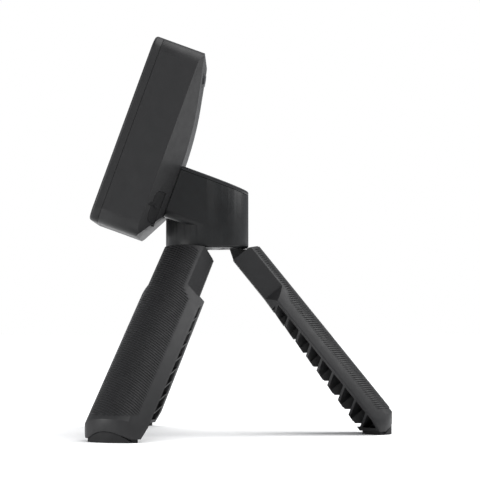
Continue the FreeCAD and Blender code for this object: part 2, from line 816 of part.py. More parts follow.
def up_screw(base):
    head = cylinder(screw_head_radius, Vector(0, boss_ring_radius, base), Z_AXIS, screw_head_height)
    shank = cylinder(screw_radius, Vector(0, boss_ring_radius, base + screw_head_height - 0.1), Z_AXIS, screw_length)
    slot_cut = box(-1.3, 1.3, boss_ring_radius - 0.2, boss_ring_radius + 0.2, base - 1, base + 0.5)
    return joined([head, shank]).cut(slot_cut)


stand_screw_shapes = []
for turn in (60, 180, 300):
    recess = cylinder(screw_head_radius + 0.2, Vector(0, boss_ring_radius, hub_base - 1), Z_AXIS,
                      1 + 0.2 + screw_head_height + 0.05)
    through = cylinder(screw_radius + 0.15, Vector(0, boss_ring_radius, hub_base - 1), Z_AXIS, 10)
    leg_carrier = without(leg_carrier, around(recess, turn), around(through, turn))
    stand_screw_shapes.append(around(up_screw(hub_base + 0.2), turn))
holder_back = holder_face + holder_thickness + 0.05
stand_screw_shapes.append(on_neck(screw(0, 0, holder_back + screw_head_height, 5.0, -1)))
stand_screws = Part.makeCompound(stand_screw_shapes)

# ================================================================ one leg, closed and rearmost
leg_reach = leg_length + 16.0
leg_low = leg_top - leg_reach
apex = leg_side_gap / math.sin(math.radians(60))
reach = 40.0
third = prism(
    [
        (0, apex, leg_low),
        (reach, apex + reach / math.sqrt(3), leg_low),
        (reach, 60, leg_low),
        (-reach, 60, leg_low),
        (-reach, apex + reach / math.sqrt(3), leg_low),
    ],
    Vector(0, 0, leg_top - leg_low),
)
half_block = leg_block_width / 2
wide = 24.0
ramp_end = leg_block_length + leg_ramp_slope * (wide - half_block)
shoulders = prism(
    [
        (-half_block, 0, leg_top),
        (half_block, 0, leg_top),
        (half_block, 0, leg_top - leg_block_length),
        (wide, 0, leg_top - ramp_end),
        (wide, 0, leg_low),
        (-wide, 0, leg_low),
        (-wide, 0, leg_top - ramp_end),
        (-half_block, 0, leg_top - leg_block_length),
    ],
    Vector(0, 40, 0),
)
taper = (leg_inner_foot - leg_inner_top) / (leg_inner_foot_at - leg_block_length)


def inner_edge(along):
    return leg_inner_top + taper * max(0.0, along - leg_block_length)


inner_limit = side_prism(
    [
        (leg_inner_top, leg_top),
        (leg_inner_top, leg_top - leg_block_length),
        (inner_edge(leg_reach), leg_low),
        (50, leg_low),
        (50, leg_top),
    ],
    50,
)
chamfer_run = hub_radius - 0.1 - leg_chamfer_start
chamfer = side_prism(
    [
        (leg_chamfer_start, leg_top + 1),
        (leg_chamfer_start, leg_top),
        (leg_chamfer_start + 2 * chamfer_run, leg_top - 2 * leg_chamfer_drop),
        (leg_chamfer_start + 2 * chamfer_run, leg_top + 1),
    ],
    50,
)


def bar(radius, start, end):
    return cylinder(radius, Vector(0, 0, leg_top - end), Z_AXIS, end - start)


envelope = bar(hub_radius, 0, leg_end).common(third).common(shoulders).common(inner_limit).cut(chamfer)


# where an open leg's outer wall passes the collar's top
wall_offset = hub_radius - hinge_radius
wall_drop = (hinge_z + wall_offset * sine - collar_height) / cosine
collar_reach = hinge_radius + wall_offset * cosine + wall_drop * sine + collar_lip


def foot_front(inset, floor, top):
    """Upright round front of an open leg's foot, as a solid."""
    return cylinder(hub_radius - inset, Vector(0, collar_reach - hub_radius, floor), Z_AXIS, top - floor)


def upright_foot(solid, inset, floor):
    """Give the foot of an opened leg its upright curved front, and cut it level."""
    above = box(-90, 90, -50, 190, collar_height, 260)
    return joined([solid.common(above), solid.common(foot_front(inset, floor, collar_height))])


outside = upright_foot(opened(envelope), 0.0, sole_height)
hollow = upright_foot(
    opened(bar(hub_radius - leg_wall, pocket_start, leg_end - leg_wall)), leg_wall, sole_height + sole_plate
)

# spine with a stepped inner edge, and the slanting webs
spine = box(-0.6, 0.6, 0, 19, leg_low, leg_top - leg_block_length + 1)
web_rise = math.tan(math.radians(web_skew))
half_web = web_thickness / 2 / math.cos(math.radians(web_skew))
webs = []
for i in range(web_count):
    middle = web_first + i * web_pitch
    tip = inner_edge(middle)
    spine = spine.cut(
        side_prism(
            [
                (tip - 8, leg_top - middle),
                (tip, leg_top - middle),
                (tip + 0.1, leg_top - middle - 3.3),
                (tip + 2.8, leg_top - middle - 5.5),
                (tip + 2.8, leg_top - middle - web_pitch),
                (tip - 8, leg_top - middle - web_pitch),
            ],
            5,
        )
    )
    webs.append(
        prism(
            [
                (-wide, 0, leg_top - middle - half_web - web_rise * wide),
                (wide, 0, leg_top - middle - half_web + web_rise * wide),
                (wide, 0, leg_top - middle + half_web + web_rise * wide),
                (-wide, 0, leg_top - middle + half_web - web_rise * wide),
            ],
            Vector(0, 19, 0),
        )
    )
pockets = hollow.cut(opened(spine))
for web in webs:
    pockets = pockets.cut(opened(web))
leg = outside.cut(pockets)

# tongue and knuckle, above the leg's top face
tangent_y = hinge_radius + knuckle_radius * cosine
tangent_z = hinge_z - knuckle_radius * sine
root_drop = tangent_z - (leg_top - 1.0)
tongue = side_prism(
    [
        (tongue_inner_radius, leg_top - 1.0),
        (tongue_inner_radius, leg_top),
        (tongue_inner_radius + 2.0, leg_top + 5.4),
        (hinge_radius, hinge_z + knuckle_radius),
        (hinge_radius, hinge_z),
        (tangent_y, tangent_z),
        (tangent_y - root_drop * sine / cosine, leg_top - 1.0),
    ],
    tongue_half_width,
)
knuckle = cylinder(knuckle_radius, Vector(-tongue_half_width, hinge_radius, hinge_z), X_AXIS, 2 * tongue_half_width)
tongue = joined([tongue, knuckle])
tongue = tongue.cut(
    cylinder(pin_radius + pin_clearance, Vector(-10, hinge_radius, hinge_z), X_AXIS, 20)
)
gusset_top = hub_base - ear_gap - 0.05
gusset_root = leg_point(tongue_inner_radius + 4.0, 2.0)
top_rise = leg_point(leg_chamfer_start, 0)
gusset = side_prism(
    [
        (hinge_radius, gusset_top),
        (top_rise.y - (top_rise.z - gusset_top) * cosine / sine, gusset_top),
        (gusset_root.y, gusset_root.z),
    ],
    tongue_half_width,
)
leg = joined([leg, opened(tongue), gusset])

# rubber pad under the foot
sole = Part.Face(outside.slice(Z_AXIS, sole_height + 0.01)[0])
sole_box = sole.BoundBox
pad_outline = sole.makeOffset2D(-pad_inset).Wires[0]
corners = [(v.X, v.Y, 0) for v in pad_outline.OrderedVertexes]
foot_pad = prism(corners, Vector(0, 0, sole_height - 0.05))
foot_pad = foot_pad.common(box(-60, 60, sole_box.YMin + pad_inner_cut, sole_box.YMax, -1, 10))
for x in (-peg_offset, peg_offset):
    y = sole_box.YMax - peg_inset
    foot_pad = foot_pad.fuse(cylinder(peg_radius, Vector(x, y, 1.0), Z_AXIS, sole_height + sole_plate - 1.2))
    leg = leg.cut(cylinder(peg_radius + 0.1, Vector(x, y, 0), Z_AXIS, sole_height + sole_plate + 0.5))
toe_radius = (toe_half_width ** 2 + toe_height ** 2) / (2 * toe_height)


def dome(gap, outer):
    """A round-topped plate that follows the foot's front, standing on the floor."""
    round_bar = cylinder(toe_radius + gap, Vector(0, 0, toe_height - toe_radius), Y_AXIS, 2 * collar_reach)
    plate = foot_front(outer, 0, collar_height).cut(foot_front(toe_sink + toe_depth + gap, -1, collar_height + 1))
    return plate.common(round_bar).common(box(-40, 40, collar_reach - hub_radius, 2 * collar_reach, 0, 20))


foot_pad = joined([foot_pad, dome(0.0, toe_sink)])
leg = leg.cut(dome(arch_gap, -1.0))

# ================================================================ export
nodes = {
    "front_cover": placed(front_cover),
    "rear_cover": placed(rear_cover),
    "case_seal": placed(case_seal),
    "antenna_board": placed(antenna_board),
    "antenna_patches": placed(antenna_patches),
    "radar_shield": placed(radar_shield),
    "inner_frame": placed(inner_frame),
    "main_board": placed(main_board),
    "board_chips": placed(board_chips),
    "battery": placed(battery),
    "battery_foam": placed(battery_pad),
    "button_switch": placed(button_switch),
    "status_light_pipe": placed(status_light_pipe),
    "usb_connector": placed(usb_connector),
    "catch_plates": placed(catch_plates),
    "tripod_insert": placed(tripod_insert),
    "case_screws": placed(case_screws),
    "board_screws": placed(board_screws),
    "power_button": placed(power_button),
    "usb_cover": placed(usb_cover),
    "hub_shell": hub_shell,
    "hub_cap": hub_cap,
    "leg_carrier": leg_carrier,
    "hinge_pins": hinge_pins,
    "stand_screws": stand_screws,
    "mount_magnets": mount_magnets,
    "magnet_holder": magnet_holder,
}
for name, turn in leg_turns.items():
    nodes["leg_" + name] = around(leg, turn)
    nodes["foot_pad_" + name] = around(foot_pad, turn)

os.makedirs("parts", exist_ok=True)
for name, shape in nodes.items():
    shape.exportStep("parts/" + name + ".step")
    print("%-18s solids %2d  volume %9.1f  valid %s" % (name, len(shape.Solids), shape.Volume, shape.isValid()))

flap_axis = placed(on_bevel(Part.Vertex(flap_axis_x, -flap_radius, 0))).Vertexes[0].Point
print("hub base %.3f, hinge height %.3f" % (hub_base, hinge_z))
print("flap axis through (%.3f, %.3f, %.3f)" % (flap_axis.x, flap_axis.y, flap_axis.z))
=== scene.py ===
"""Looks of a golf launch monitor on its folding stand.

Laid out as an add-on: one operator for each finish group and each added piece, one for the stage.
Lengths are metres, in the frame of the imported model: +Z up, the radar unit faces -Y.
"""

import json
import math

import bmesh
import bpy
from mathutils import Matrix, Vector


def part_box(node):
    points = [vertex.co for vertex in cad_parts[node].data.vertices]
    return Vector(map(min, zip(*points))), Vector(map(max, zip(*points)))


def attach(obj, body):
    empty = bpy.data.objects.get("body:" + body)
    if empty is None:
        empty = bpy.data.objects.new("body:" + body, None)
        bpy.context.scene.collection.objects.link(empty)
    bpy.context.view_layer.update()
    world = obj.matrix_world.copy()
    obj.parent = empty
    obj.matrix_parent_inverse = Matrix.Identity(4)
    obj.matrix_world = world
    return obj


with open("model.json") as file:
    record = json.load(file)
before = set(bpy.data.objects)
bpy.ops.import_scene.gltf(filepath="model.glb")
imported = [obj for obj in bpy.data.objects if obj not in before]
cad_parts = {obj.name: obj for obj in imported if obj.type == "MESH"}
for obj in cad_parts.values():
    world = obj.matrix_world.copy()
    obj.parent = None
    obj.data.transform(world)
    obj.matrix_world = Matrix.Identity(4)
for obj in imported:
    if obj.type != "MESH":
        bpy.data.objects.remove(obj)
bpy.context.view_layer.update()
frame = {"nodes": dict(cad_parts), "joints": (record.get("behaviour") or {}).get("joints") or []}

bl_info = {
    "name": "Launch Monitor Looks",
    "version": (1, 0, 0),
    "blender": (4, 5, 0),
    "location": "View3D > Sidebar > Launch Monitor",
    "description": "Finishes, grip ribs and stage for a launch monitor on a folding stand",
    "category": "Object",
}

LEGS = ("rear", "right", "left")
JOINTS = {joint["name"]: joint for joint in frame["joints"]}


# ---------------------------------------------------------------- settings
class CaseSettings(bpy.types.PropertyGroup):
    """Finishes of the radar unit."""

    cover_colour: bpy.props.StringProperty(
        name="Cover colour", description="Moulded colour of both covers, sRGB hex", default="19191a"
    )
    cover_grain: bpy.props.FloatProperty(
        name="Cover grain", description="Size of the spark-eroded mould grain",
        default=0.0006, unit="LENGTH", min=0.0001
    )
    button_colour: bpy.props.StringProperty(
        name="Button colour", description="Colour of the power button, sRGB hex", default="2c2d30"
    )
    symbol_radius: bpy.props.FloatProperty(
        name="Symbol radius", description="Radius of the power symbol", default=0.00135, unit="LENGTH"
    )
    symbol_line: bpy.props.FloatProperty(
        name="Symbol line", description="Width of the power symbol's line", default=0.00036, unit="LENGTH"
    )
    symbol_height: bpy.props.FloatProperty(
        name="Symbol height", description="How far raised marks stand out", default=0.00012, unit="LENGTH"
    )
    ridge_length: bpy.props.FloatProperty(
        name="Ridge length", description="Length of a port cover ridge", default=0.0026, unit="LENGTH"
    )
    ridge_width: bpy.props.FloatProperty(
        name="Ridge width", description="Width of a port cover ridge", default=0.0005, unit="LENGTH"
    )
    ridge_pitch: bpy.props.FloatProperty(
        name="Ridge pitch", description="From one port cover ridge to the next", default=0.0012, unit="LENGTH"
    )
    ridge_offset: bpy.props.FloatProperty(
        name="Ridge offset", description="From the port cover's middle to its ridges",
        default=-0.0018, unit="LENGTH"
    )
    edge_softness: bpy.props.FloatProperty(
        name="Edge softness", description="Radius left on moulded edges", default=0.00025, unit="LENGTH"
    )


class StandSettings(bpy.types.PropertyGroup):
    """Finishes and grip ribs of the stand."""

    head_colour: bpy.props.StringProperty(
        name="Head colour", description="Moulded colour of the head, sRGB hex", default="121314"
    )
    cap_colour: bpy.props.StringProperty(
        name="Cap colour", description="Moulded colour of the head's cap, sRGB hex", default="141517"
    )
    leg_colour: bpy.props.StringProperty(
        name="Leg colour", description="Moulded colour of the legs, sRGB hex", default="1e1e1f"
    )
    leg_radius: bpy.props.FloatProperty(
        name="Leg radius", description="Outside radius of a leg", default=0.0196, unit="LENGTH"
    )
    leg_top_gap: bpy.props.FloatProperty(
        name="Leg top gap", description="From a closed leg's top to the head", default=0.0014, unit="LENGTH"
    )
    rib_pitch: bpy.props.FloatProperty(
        name="Rib pitch", description="From one grip rib to the next, along the leg",
        default=0.00125, unit="LENGTH"
    )
    rib_height: bpy.props.FloatProperty(
        name="Rib height", description="How far a grip rib stands out", default=0.00042, unit="LENGTH"
    )
    rib_width: bpy.props.FloatProperty(
        name="Rib width", description="Width of a grip rib at its foot", default=0.00085, unit="LENGTH"
    )
    rib_lead: bpy.props.FloatProperty(
        name="Rib lead", description="Rise of a grip rib for each radian round the leg",
        default=0.008, unit="LENGTH"
    )
    rib_half_angle: bpy.props.FloatProperty(
        name="Rib half angle", description="How far the ribs reach each way round the leg",
        default=math.radians(44), subtype="ANGLE"
    )
    block_half_angle: bpy.props.FloatProperty(
        name="Block half angle", description="The same on the narrow upper block",
        default=math.radians(32), subtype="ANGLE"
    )
    ramp_spread: bpy.props.FloatProperty(
        name="Ramp spread", description="Angle gained for each metre down the ramp under that block",
        default=45.0
    )
    block_length: bpy.props.FloatProperty(
        name="Block length", description="Length of the narrow upper block", default=0.026, unit="LENGTH"
    )
    rib_start: bpy.props.FloatProperty(
        name="Rib start", description="Bare stretch under the leg's top", default=0.0026, unit="LENGTH"
    )
    rib_end: bpy.props.FloatProperty(
        name="Rib end", description="Length of leg that the ribs are laid over", default=0.108, unit="LENGTH"
    )
    collar_height: bpy.props.FloatProperty(
        name="Collar height", description="Plain upright band at the foot", default=0.0124, unit="LENGTH"
    )


class StageSettings(bpy.types.PropertyGroup):
    """Camera, floor and lights."""

    camera_distance: bpy.props.FloatProperty(
        name="Camera distance", description="From the head's axis to the camera", default=1.0, unit="LENGTH"
    )
    camera_height: bpy.props.FloatProperty(
        name="Camera height", description="Height of the camera above the floor",
        default=0.0539, unit="LENGTH"
    )
    camera_across: bpy.props.FloatProperty(
        name="Camera across", description="Camera's place along the rear leg's direction",
        default=0.0156, unit="LENGTH"
    )
    aim_height: bpy.props.FloatProperty(
        name="Aim height", description="Height that the camera looks at", default=0.0919, unit="LENGTH"
    )
    lens: bpy.props.FloatProperty(
        name="Lens", description="Focal length on a 36 mm sensor, in millimetres", default=157.7
    )
    floor_colour: bpy.props.StringProperty(
        name="Floor colour", description="Colour of the floor and backdrop, sRGB hex", default="ffffff"
    )


# ---------------------------------------------------------------- node helpers
def linear(hex_colour):
    """An sRGB hex colour as linear red, green, blue and alpha."""
    channels = [int(hex_colour[i:i + 2], 16) / 255 for i in (0, 2, 4)]
    lit = [c / 12.92 if c <= 0.04045 else ((c + 0.055) / 1.055) ** 2.4 for c in channels]
    return (*lit, 1.0)


def shade(hex_colour, factor):
    """The same hex colour, lighter or darker."""
    channels = [min(255, round(int(hex_colour[i:i + 2], 16) * factor)) for i in (0, 2, 4)]
    return "".join("%02x" % c for c in channels)


def add(tree, kind, values=None, links=None, **settings):
    """Add a node with its settings, input values and links from other nodes' outputs."""
    node = tree.nodes.new(kind)
    for name, value in settings.items():
        setattr(node, name, value)
    for key, value in (values or {}).items():
        node.inputs[key].default_value = value
    for key, output in (links or {}).items():
        tree.links.new(output, node.inputs[key])
    return node


def start(name):
    """A new node material and its tree, holding only the output."""
    material = bpy.data.materials.new(name)
    material.use_nodes = True
    tree = material.node_tree
    tree.nodes.clear()
    return material, tree


def close(tree, shader):
    add(tree, "ShaderNodeOutputMaterial", links={"Surface": shader.outputs["BSDF"]})


def mottled(tree, place, light, dark, size):
    """Colour that drifts between two shades over patches of the given size."""
    patches = add(
        tree, "ShaderNodeTexNoise", {"Scale": 1 / size, "Detail": 3.0, "Roughness": 0.6}, {"Vector": place}
    )
    ramp = add(tree, "ShaderNodeValToRGB", links={"Fac": patches.outputs["Fac"]})
    ramp.color_ramp.elements[0].position = 0.3
    ramp.color_ramp.elements[0].color = linear(dark)
    ramp.color_ramp.elements[1].position = 0.7
    ramp.color_ramp.elements[1].color = linear(light)
    return ramp.outputs["Color"]


def ranged(tree, place, low, high, size):
    """A value that drifts between low and high over patches of the given size."""
    patches = add(tree, "ShaderNodeTexNoise", {"Scale": 1 / size, "Detail": 4.0}, {"Vector": place})
    spread = add(
        tree, "ShaderNodeMapRange", {"From Min": 0.3, "From Max": 0.7, "To Min": low, "To Max": high},
        {"Value": patches.outputs["Fac"]},
    )
    return spread.outputs["Result"]


def moulded(name, colour, grain, relief, roughness, specular=0.5):
    """Plastic from a textured mould: fine grain, slight drift of colour and gloss."""
    material, tree = start(name)
    place = add(tree, "ShaderNodeTexCoord").outputs["Object"]
    cells = add(
        tree, "ShaderNodeTexNoise", {"Scale": 1 / grain, "Detail": 4.0, "Roughness": 0.65}, {"Vector": place}
    )
    bump = add(
        tree, "ShaderNodeBump", {"Strength": 0.6, "Distance": relief}, {"Height": cells.outputs["Fac"]}
    )
    shader = add(
        tree, "ShaderNodeBsdfPrincipled", {"IOR": 1.5, "Specular IOR Level": specular},
        {
            "Base Color": mottled(tree, place, shade(colour, 1.08), shade(colour, 0.92), 0.006),
            "Roughness": ranged(tree, place, roughness - 0.05, roughness + 0.05, 0.004),
            "Normal": bump.outputs["Normal"],
        },
    )
    close(tree, shader)
    return material


def metal(name, colour, roughness, streak, relief):
    """Bare or plated metal with fine machining streaks along X."""
    material, tree = start(name)
    place = add(tree, "ShaderNodeTexCoord").outputs["Object"]
    stretch = add(tree, "ShaderNodeMapping", {"Scale": (0.08, 1.0, 1.0)}, {"Vector": place})
    streaks = add(
        tree, "ShaderNodeTexNoise", {"Scale": 1 / streak, "Detail": 5.0},
        {"Vector": stretch.outputs["Vector"]},
    )
    bump = add(
        tree, "ShaderNodeBump", {"Strength": 0.4, "Distance": relief}, {"Height": streaks.outputs["Fac"]}
    )
    shader = add(
        tree, "ShaderNodeBsdfPrincipled", {"Metallic": 1.0},
        {
            "Base Color": mottled(tree, place, colour, shade(colour, 0.88), 0.003),
            "Roughness": ranged(tree, place, roughness - 0.06, roughness + 0.06, 0.002),
            "Normal": bump.outputs["Normal"],
        },
    )
    close(tree, shader)
    return material


# ---------------------------------------------------------------- materials
def cover_plastic(settings):
    """ABS from a spark-eroded mould: near black, and its fine grain breaks the light into a soft satin."""
    return moulded(
        "Moulded ABS, black satin", settings.cover_colour, settings.cover_grain, 0.00003, 0.48, 0.34
    )


def head_plastic(settings):
    """Nylon from a lightly blasted mould: smoother than the covers, with a broad soft highlight."""
    return moulded("Moulded nylon, black satin", settings.head_colour, 0.0007, 0.000018, 0.38, 0.26)


def cap_plastic(settings):
    """The same nylon in a slightly greyer black, with a finer surface."""
    return moulded("Moulded nylon, soft black cap", settings.cap_colour, 0.0006, 0.000015, 0.38, 0.3)


def leg_plastic(settings):
    """Glass-filled nylon: fibres near the skin dull it, so it looks a greyer, drier black."""
    return moulded("Glass-filled nylon, dry black", settings.leg_colour, 0.0008, 0.00004, 0.5, 0.3)


def button_rubber(settings):
    """Silicone keycap, moulded with a silky skin and lighter than the case round it."""
    return moulded("Silicone keycap, silky", settings.button_colour, 0.0005, 0.00001, 0.48)


def flap_rubber():
    """Thermoplastic rubber, matt from its mould, that takes the light more softly than the case."""
    return moulded("Thermoplastic rubber, matt", "141415", 0.0005, 0.00003, 0.62, 0.24)


def pad_rubber():
    """Moulded rubber foot: deep matt black with a dusty sheen."""
    return moulded("Moulded rubber, dull black", "19191a", 0.0009, 0.00006, 0.75, 0.3)


def inner_plastic():
    """Plain moulded nylon of hidden frames, as it comes out of a polished mould."""
    return moulded("Moulded nylon, plain", "2e2f31", 0.0012, 0.00002, 0.45)


def foam():
    """Open-cell foam strip: coarse pores and no gloss."""
    return moulded("Open-cell foam, grey", "3a3b3d", 0.0009, 0.0002, 0.95, 0.1)


def solder_mask():
    """Green solder mask over woven glass board, smooth and slightly glossy."""
    return moulded("Solder mask, green", "14532e", 0.0009, 0.00001, 0.3)


def epoxy():
    """Black epoxy of chip packages, fine matt."""
    return moulded("Epoxy package, black", "1c1c1e", 0.0003, 0.000012, 0.5)


def foil_pouch():
    """Aluminium laminate pouch, softly wrinkled."""
    return metal("Aluminium pouch foil", "b9bdc2", 0.34, 0.0012, 0.00008)


def clear_acrylic():
    """Clear acrylic light pipe, polished."""
    material, tree = start("Clear acrylic, polished")
    place = add(tree, "ShaderNodeTexCoord").outputs["Object"]
    shader = add(
        tree, "ShaderNodeBsdfPrincipled", {"IOR": 1.49, "Transmission Weight": 0.7},
        {
            "Base Color": mottled(tree, place, "e6eaea", "d5dbdb", 0.001),
            "Roughness": ranged(tree, place, 0.12, 0.2, 0.001),
        },
    )
    close(tree, shader)
    return material


def stainless():
    """Stainless sheet, drawn, with a fine satin."""
    return metal("Drawn stainless steel", "a9abad", 0.3, 0.0004, 0.00001)


def tinned():
    """Tin-plated steel can, slightly cloudy."""
    return metal("Tinned steel", "9fa2a4", 0.38, 0.0006, 0.000012)


def zinc():
    """Zinc-plated steel plate, dull bluish grey."""
    return metal("Zinc plated steel", "8f949b", 0.45, 0.0008, 0.00002)


def black_zinc():
    """Black zinc on small screws."""
    return metal("Black zinc screws", "2f3033", 0.4, 0.0005, 0.000015)


def ground_steel():
    """Centreless ground pin steel."""
    return metal("Ground pin steel", "b4b6b8", 0.22, 0.0003, 0.000006)


def nickel():
    """Nickel plate on sintered magnets, bright with a slight warm tone."""
    return metal("Nickel plate", "bdbab2", 0.18, 0.0008, 0.00001)


def turned_brass():
    """Turned brass bush."""
    return metal("Turned brass", "c19a4e", 0.28, 0.0004, 0.000012)


def gold_flash():
    """Gold-flashed copper patches."""
    return metal("Gold-flashed copper", "d6a653", 0.3, 0.0006, 0.000006)


def dress(node_names, material):
    """Give CAD nodes a material in place of their packed one."""
    for name in node_names:
        piece = frame["nodes"][name]
        if not piece.material_slots:
            piece.data.materials.append(material)
        for slot in piece.material_slots:
            slot.material = material


def soften(node_names, radius):
    """Leave a small radius on the moulded edges of CAD nodes, without touching their meshes."""
    for name in node_names:
        piece = frame["nodes"][name]
        weld = piece.modifiers.new("joined skin", "WELD")
        weld.merge_threshold = 0.000001
        edges = piece.modifiers.new("mould radius", "BEVEL")
        edges.width = radius
        edges.segments = 2
        edges.limit_method = "ANGLE"
        edges.angle_limit = math.radians(32)
        edges.use_clamp_overlap = True
        edges.harden_normals = True


# ---------------------------------------------------------------- piece helpers
def new_piece(name, bm, material, body):
    """Turn a bmesh into a finished piece that rides on a body."""
    bmesh.ops.remove_doubles(bm, verts=bm.verts, dist=0.000001)
    bmesh.ops.recalc_face_normals(bm, faces=bm.faces)
    mesh = bpy.data.meshes.new(name)
    bm.to_mesh(mesh)
    bm.free()
    piece = bpy.data.objects.new(name, mesh)
    bpy.context.scene.collection.objects.link(piece)
    piece.data.materials.append(material)
    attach(piece, body)
    return piece


def cut_off(bm, point, normal):
    """Cut away what lies on the normal's side of a plane, and close the cut."""
    everything = bm.verts[:] + bm.edges[:] + bm.faces[:]
    cut = bmesh.ops.bisect_plane(bm, geom=everything, plane_co=point, plane_no=normal, clear_outer=True)
    rim = [item for item in cut["geom_cut"] if isinstance(item, bmesh.types.BMEdge)]
    if rim:
        bmesh.ops.holes_fill(bm, edges=rim, sides=0)


def opened(joint):
    """The move from a leg's closed place to its open one."""
    hinge = Matrix.Translation(Vector(joint["pos_m"]))
    swing = Matrix.Rotation(-math.radians(joint["range_deg"][1]), 4, Vector(joint["axis"]))
    return hinge @ swing @ hinge.inverted()


def reach(settings, along, rise):
    """Angle that a rib goes round the leg before it would run off the narrow block or its ramp."""
    angle = 0.0
    while angle < settings.rib_half_angle:
        past_block = along + rise * angle - settings.block_length
        if angle > settings.block_half_angle + max(0.0, past_block) * settings.ramp_spread:
            break
        angle += math.radians(1)
    return angle


def rib(bm, settings, height, along):
    """One helical grip rib on a closed rear leg, fading into the surface at both ends."""
    ahead = reach(settings, along, settings.rib_lead)
    behind = reach(settings, along, -settings.rib_lead)
    steps = 14
    base = settings.leg_radius - 0.00015
    crest = settings.leg_radius + settings.rib_height
    foot = settings.rib_width / 2
    flat = foot * 0.35
    profile = [(base, -foot), (base, foot), (crest, flat), (crest, -flat)]
    corners = [bm.verts.new((0, radius, rise)) for radius, rise in profile]
    loop = [bm.edges.new((corners[i], corners[(i + 1) % 4])) for i in range(4)]
    bmesh.ops.rotate(bm, verts=corners, cent=(0, 0, 0), matrix=Matrix.Rotation(ahead, 3, "Z"))
    bmesh.ops.translate(bm, verts=corners, vec=(0, 0, height - settings.rib_lead * ahead))
    step = (ahead + behind) / steps
    swept = bmesh.ops.spin(
        bm, geom=corners + loop, cent=(0, 0, 0), axis=(0, 0, -1), dvec=(0, 0, settings.rib_lead * step),
        angle=ahead + behind, steps=steps, use_duplicate=False,
    )
    last = [item for item in swept["geom_last"] if isinstance(item, bmesh.types.BMVert)]
    fade = (base - 0.00005) / crest
    for end in (corners, last):
        crests = [v for v in end if v.co.xy.length > settings.leg_radius]
        bmesh.ops.scale(bm, verts=crests, vec=(fade, fade, 1.0))
        bmesh.ops.contextual_create(bm, geom=end)


# ---------------------------------------------------------------- operators
class MONITOR_OT_case(bpy.types.Operator):
    """Finish the radar unit's covers, seal, button and port cover"""

    bl_idname = "monitor.case"
    bl_label = "Case"

    def execute(self, context):
        settings = context.scene.monitor_case
        dress(["front_cover", "rear_cover"], cover_plastic(settings))
        dress(["power_button"], button_rubber(settings))
        dress(["case_seal", "usb_cover"], flap_rubber())
        dress(["status_light_pipe"], clear_acrylic())
        soften(["front_cover", "rear_cover"], settings.edge_softness)
        return {"FINISHED"}


class MONITOR_OT_electronics(bpy.types.Operator):
    """Finish the boards, battery and fittings inside the radar unit"""

    bl_idname = "monitor.electronics"
    bl_label = "Electronics"

    def execute(self, context):
        dress(["antenna_board", "main_board"], solder_mask())
        dress(["antenna_patches"], gold_flash())
        dress(["board_chips"], epoxy())
        dress(["battery"], foil_pouch())
        dress(["battery_foam"], foam())
        dress(["inner_frame"], inner_plastic())
        dress(["usb_connector", "button_switch"], stainless())
        dress(["radar_shield"], tinned())
        dress(["catch_plates"], zinc())
        dress(["tripod_insert"], turned_brass())
        return {"FINISHED"}


class MONITOR_OT_stand(bpy.types.Operator):
    """Finish the stand's head, legs, pads, pins, magnets and screws"""

    bl_idname = "monitor.stand"
    bl_label = "Stand"

    def execute(self, context):
        settings = context.scene.monitor_stand
        dress(["hub_shell"], head_plastic(settings))
        dress(["hub_cap"], cap_plastic(settings))
        dress(["leg_" + leg for leg in LEGS], leg_plastic(settings))
        dress(["foot_pad_" + leg for leg in LEGS], pad_rubber())
        dress(["leg_carrier", "magnet_holder"], inner_plastic())
        dress(["hinge_pins"], ground_steel())
        dress(["mount_magnets"], nickel())
        dress(["stand_screws", "case_screws", "board_screws"], black_zinc())
        softness = context.scene.monitor_case.edge_softness
        soften(["hub_shell", "hub_cap"] + ["leg_" + leg for leg in LEGS], softness)
        return {"FINISHED"}


class MONITOR_OT_grip_ribs(bpy.types.Operator):
    """Model the fine slanting grip ribs round the outside of each leg"""

    bl_idname = "monitor.grip_ribs"
    bl_label = "Grip ribs"

    def execute(self, context):
        settings = context.scene.monitor_stand
        material = bpy.data.materials["Glass-filled nylon, dry black"]
        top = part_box("hub_shell")[0][2] - settings.leg_top_gap
        rear = JOINTS["rear_leg_fold"]
        for leg in LEGS:
            bm = bmesh.new()
            height = top
            while height > top - settings.rib_end:
                rib(bm, settings, height, top - height)
                height -= settings.rib_pitch
            cut_off(bm, (0, 0, top - settings.rib_start), (0, 0, 1))
            bmesh.ops.transform(bm, matrix=opened(rear), verts=bm.verts)
            cut_off(bm, (0, 0, settings.collar_height), (0, 0, -1))
            joint = JOINTS[leg + "_leg_fold"]
            turn = math.atan2(joint["pos_m"][1], joint["pos_m"][0]) - math.pi / 2
            bmesh.ops.rotate(bm, verts=bm.verts, cent=(0, 0, 0), matrix=Matrix.Rotation(turn, 3, "Z"))
            new_piece("grip_ribs_" + leg, bm, material, "leg_" + leg)
        return {"FINISHED"}


def outer_face(name, towards):
    """(middle, outward direction) of the outermost flat face of a CAD node, looking from towards."""
    mesh = frame["nodes"][name].data
    facing = [face for face in mesh.polygons if face.normal.dot(towards) > 0.7]
    direction = max(facing, key=lambda face: face.area).normal.copy()
    reach = max(vertex.co.dot(direction) for vertex in mesh.vertices)
    rim = [vertex.co for vertex in mesh.vertices if reach - vertex.co.dot(direction) < 0.00002]
    low = Vector([min(co[i] for co in rim) for i in range(3)])
    high = Vector([max(co[i] for co in rim) for i in range(3)])
    return (low + high) / 2, direction


def set_down(middle, direction, up):
    """The move that stands a mark made flat on XY, with its top towards Y, on an outer face."""
    across = up.cross(direction).normalized()
    upright = direction.cross(across)
    turn = Matrix((across, upright, direction)).transposed().to_4x4()
    return Matrix.Translation(middle) @ turn


